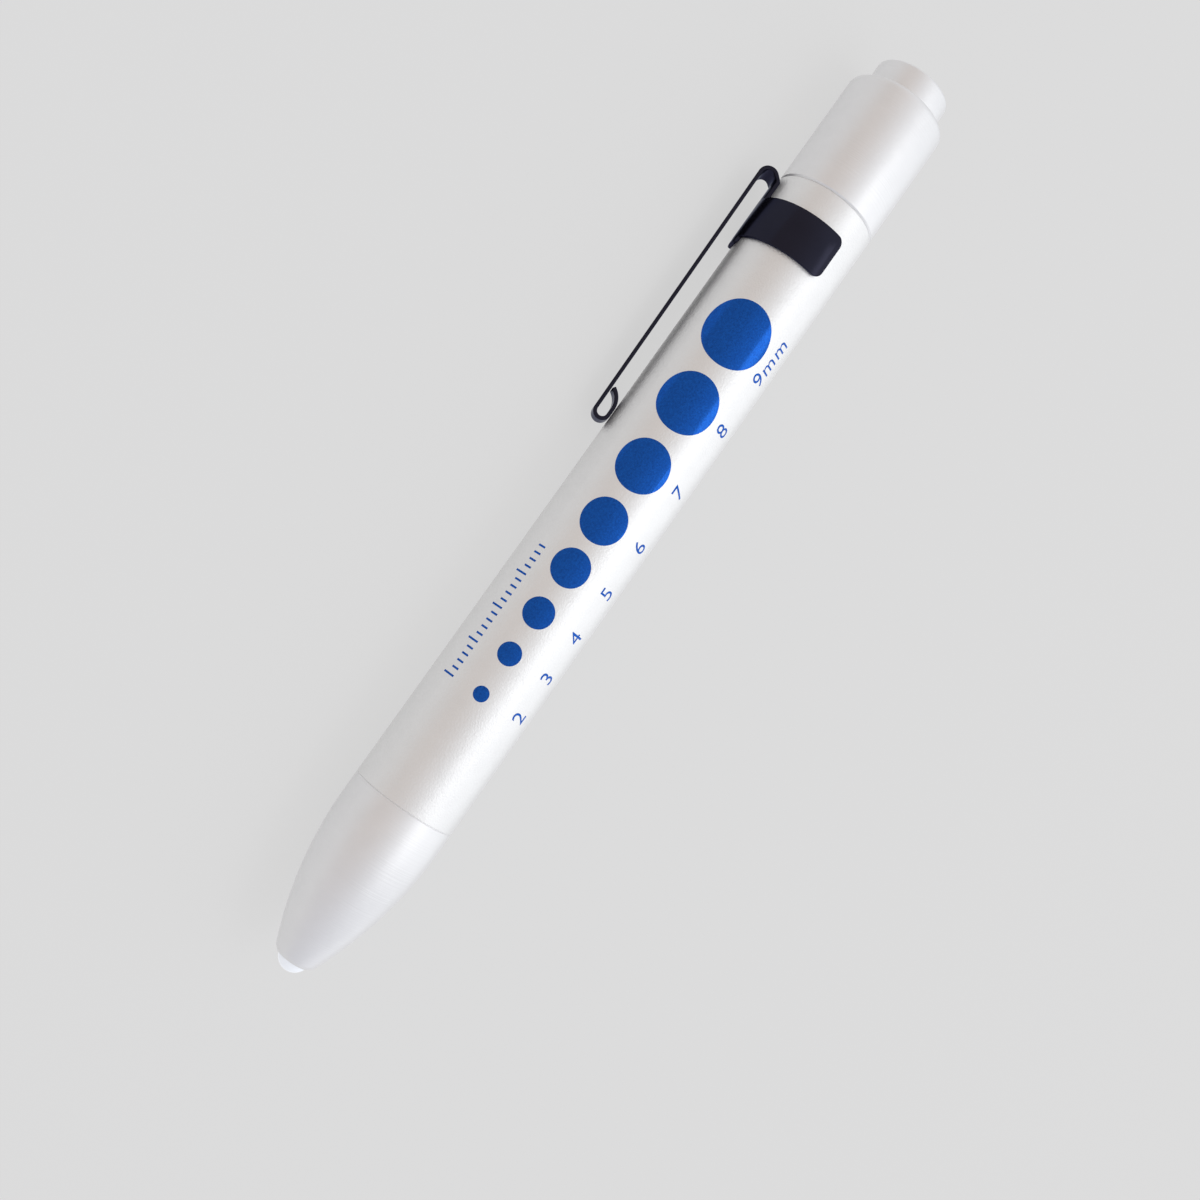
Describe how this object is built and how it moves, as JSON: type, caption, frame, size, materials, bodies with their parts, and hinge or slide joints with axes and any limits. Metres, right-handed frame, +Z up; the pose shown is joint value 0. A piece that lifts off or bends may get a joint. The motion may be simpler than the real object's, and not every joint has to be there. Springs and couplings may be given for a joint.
{
  "type": "penlight",
  "caption": "Slim aluminium pen torch with a domed tip lens, a spring-steel pocket clip, a screw-on tail cap and a momentary push button, for small round cells.",
  "frame": {"origin": "on the table, under the middle of the pen's box, with the pen lying on its clip", "axes": "+X along the pen towards the nose and the beam, +Z up, clip towards -Y"},
  "size_m": [0.1368, 0.0162, 0.0151],
  "materials": {
    "anodised_aluminium": "satin clear anodised",
    "lens_acrylic": "moulded clear acrylic",
    "led_epoxy": "cast clear epoxy",
    "tinned_steel": "tinned",
    "phosphor": "matte",
    "white_nylon": "moulded",
    "circuit_board": "solder mask",
    "resistor_ceramic": "glazed",
    "spring_steel": "nickel plated",
    "cell_can": "nickel plated",
    "cell_seal": "moulded",
    "cell_sleeve": "shrink film",
    "black_clip": "semi-gloss black coating",
    "brass": "turned"
  },
  "bodies": {
    "pen_body": {"nose_cone": "anodised_aluminium", "lens": "lens_acrylic", "led_body": "led_epoxy", "led_lead_frame": "tinned_steel", "led_chip": "phosphor", "led_holder": "white_nylon", "led_board": "circuit_board", "chip_resistor": "resistor_ceramic", "front_spring": "spring_steel", "barrel": "anodised_aluminium", "front_cell_can": "cell_can", "front_cell_base": "cell_can", "front_cell_seal": "cell_seal", "front_cell_sleeve": "cell_sleeve", "rear_cell_can": "cell_can", "rear_cell_base": "cell_can", "rear_cell_seal": "cell_seal", "rear_cell_sleeve": "cell_sleeve"},
    "clip": {"clip": "black_clip"},
    "guide": {"guide_sleeve": "white_nylon", "return_spring": "spring_steel"},
    "tail_cap": {"tail_cap": "anodised_aluminium", "snap_ring": "spring_steel"},
    "button": {"button": "anodised_aluminium", "contact_plunger": "brass"}
  },
  "joints": [
    {"name": "clip_swivel", "type": "hinge", "parent": "pen_body", "child": "clip", "pos_m": [-0.04108, 0.00109, 0.00755], "axis": [-1, 0, 0], "continuous": true},
    {"name": "tail_cap_travel", "type": "slide", "parent": "pen_body", "child": "guide", "axis": [-1, 0, 0], "range_m": [0, 0.0051]},
    {"name": "tail_cap_turn", "type": "hinge", "parent": "guide", "child": "tail_cap", "pos_m": [-0.05607, 0.00109, 0.00755], "axis": [-1, 0, 0], "range_deg": [0, 1800]},
    {"name": "button_press", "type": "slide", "parent": "tail_cap", "child": "button", "axis": [1, 0, 0], "range_m": [0, 0.0015], "stiffness_N_per_m": 1500, "springref_m": -0.002, "deforming": ["return_spring"]}
  ],
  "couplings": [
    {"joint": "tail_cap_travel", "follows": "tail_cap_turn", "m_per_rad": 0.00015915}
  ]
}
